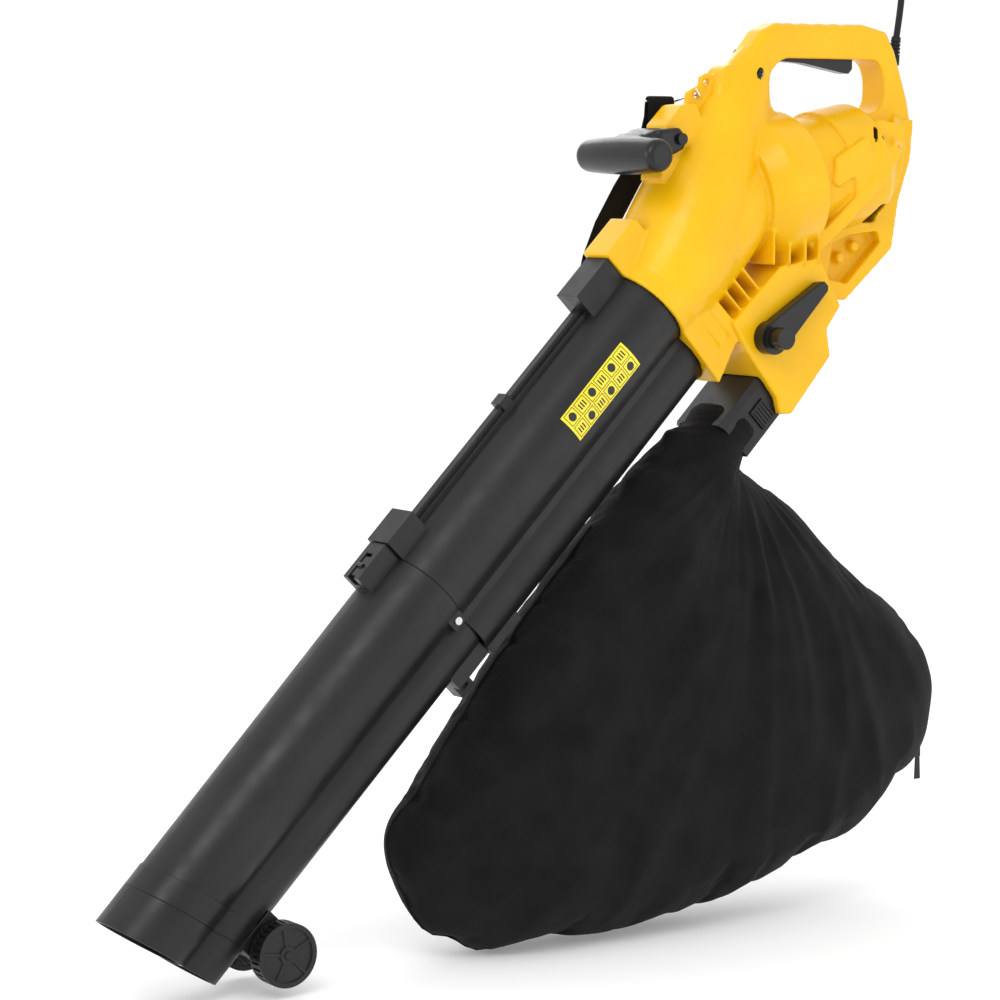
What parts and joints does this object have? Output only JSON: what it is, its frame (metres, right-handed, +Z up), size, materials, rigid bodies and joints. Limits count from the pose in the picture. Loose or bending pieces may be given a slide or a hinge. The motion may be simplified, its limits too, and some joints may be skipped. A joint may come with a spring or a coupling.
{
  "type": "leaf blower vacuum",
  "caption": "Corded garden blower vacuum with twin tubes, wheels, top handle, tilting T-handle, fan and motor, air selector and a fabric collection bag.",
  "frame": {"origin": "middle of the main grip's bar, where a hand closes round it", "axes": "+X rearwards along the grip, away from the nozzle; +Y to the machine's right; +Z up, square to the grip as the machine is held with its tubes 45 degrees down"},
  "size_m": [1.1606, 0.1699, 1.0986],
  "materials": {
    "yellow_plastic": "moulded yellow plastic, glossy",
    "black_plastic": "moulded black plastic, satin",
    "black_gloss": "moulded black plastic, semi-gloss",
    "white_plastic": "moulded white plastic",
    "steel": "ground steel",
    "chrome": "nickel plated",
    "aluminium": "die-cast aluminium",
    "copper": "enamelled copper",
    "carbon": "pressed carbon",
    "brass": "pressed brass",
    "bag_fabric": "woven black polyester",
    "webbing": "woven black webbing",
    "cord_rubber": "black rubber",
    "label": "yellow film"
  },
  "bodies": {
    "blower": {"lower_tube": "black_plastic", "upper_tube_left": "black_plastic", "upper_tube_right": "black_plastic", "safety_label": "label", "wheel_axle": "steel", "wheel_bracket": "black_plastic", "bag_hook": "black_plastic", "joint_screws": "steel", "housing_left": "yellow_plastic", "housing_right": "yellow_plastic", "housing_screws": "steel", "motor_mount_plate": "aluminium", "front_bearing": "steel", "rear_bearing": "steel", "stator": "steel", "field_windings": "copper", "carbon_brushes": "carbon", "brush_holders": "brass", "rear_bearing_bracket": "black_plastic", "capacitor": "white_plastic", "trigger_pin": "steel", "power_switch": "black_plastic", "speed_control": "black_plastic", "handle_bolt": "black_gloss", "bag_port": "black_plastic", "bag": "bag_fabric", "zip_slider": "chrome", "power_cord": "cord_rubber", "strain_relief": "cord_rubber", "plug": "cord_rubber", "plug_pins": "chrome"},
    "wheel_left": {"wheel_left": "black_plastic"},
    "wheel_right": {"wheel_right": "black_plastic"},
    "rotor": {"impeller": "aluminium", "shredder_blade": "steel", "impeller_nut": "steel", "motor_shaft": "steel", "armature": "steel", "commutator": "copper"},
    "trigger": {"trigger": "black_gloss"},
    "speed_dial": {"speed_dial": "black_gloss"},
    "selector": {"selector_lever": "black_gloss", "selector_shaft": "steel", "air_flap": "black_plastic"},
    "tube_latch": {"tube_latch": "black_gloss"},
    "port_latch": {"port_latch": "black_plastic"},
    "front_handle": {"front_handle": "black_gloss"},
    "strap": {"strap_hook": "chrome", "shoulder_strap": "webbing"},
    "zip_pull": {"zip_pull": "chrome"}
  },
  "joints": [
    {"name": "wheel_left_spin", "type": "hinge", "parent": "blower", "child": "wheel_left", "pos_m": [-0.68455, 0, -0.89112], "axis": [0, 1, 0], "continuous": true},
    {"name": "wheel_right_spin", "type": "hinge", "parent": "blower", "child": "wheel_right", "pos_m": [-0.68455, 0, -0.89112], "axis": [0, 1, 0], "continuous": true},
    {"name": "rotor_spin", "type": "hinge", "parent": "blower", "child": "rotor", "pos_m": [-0.07, 0, -0.154], "axis": [0.9816, 0, 0.1908], "continuous": true},
    {"name": "trigger_squeeze", "type": "hinge", "parent": "blower", "child": "trigger", "pos_m": [-0.044, 0, -0.011], "axis": [0, -1, 0], "range_deg": [0, 4], "stiffness_Nm_per_rad": 2},
    {"name": "dial_turn", "type": "hinge", "parent": "blower", "child": "speed_dial", "pos_m": [-0.09, -0.008, -0.037], "axis": [-0.866, 0, 0.5], "range_deg": [0, 270]},
    {"name": "selector_turn", "type": "hinge", "parent": "blower", "child": "selector", "pos_m": [-0.10048, 0, -0.30988], "axis": [0, 1, 0], "range_deg": [0, 60]},
    {"name": "tube_latch_press", "type": "slide", "parent": "blower", "child": "tube_latch", "axis": [0.7071, 0, -0.7071], "range_m": [0, 0.004], "stiffness_N_per_m": 2000},
    {"name": "port_latch_press", "type": "slide", "parent": "blower", "child": "port_latch", "axis": [0, 1, 0], "range_m": [0, 0.0025], "stiffness_N_per_m": 2000},
    {"name": "front_handle_tilt", "type": "hinge", "parent": "blower", "child": "front_handle", "pos_m": [-0.196, 0, -0.103], "axis": [0, 1, 0], "range_deg": [-12, 20]},
    {"name": "strap_swing", "type": "hinge", "parent": "blower", "child": "strap", "pos_m": [-0.157, 0, -0.057], "axis": [1, 0, 0], "range_deg": [0, 20]},
    {"name": "zip_pull_swing", "type": "hinge", "parent": "blower", "child": "zip_pull", "pos_m": [0.163, 0, -0.792], "axis": [0, 1, 0], "range_deg": [-30, 5]}
  ]
}
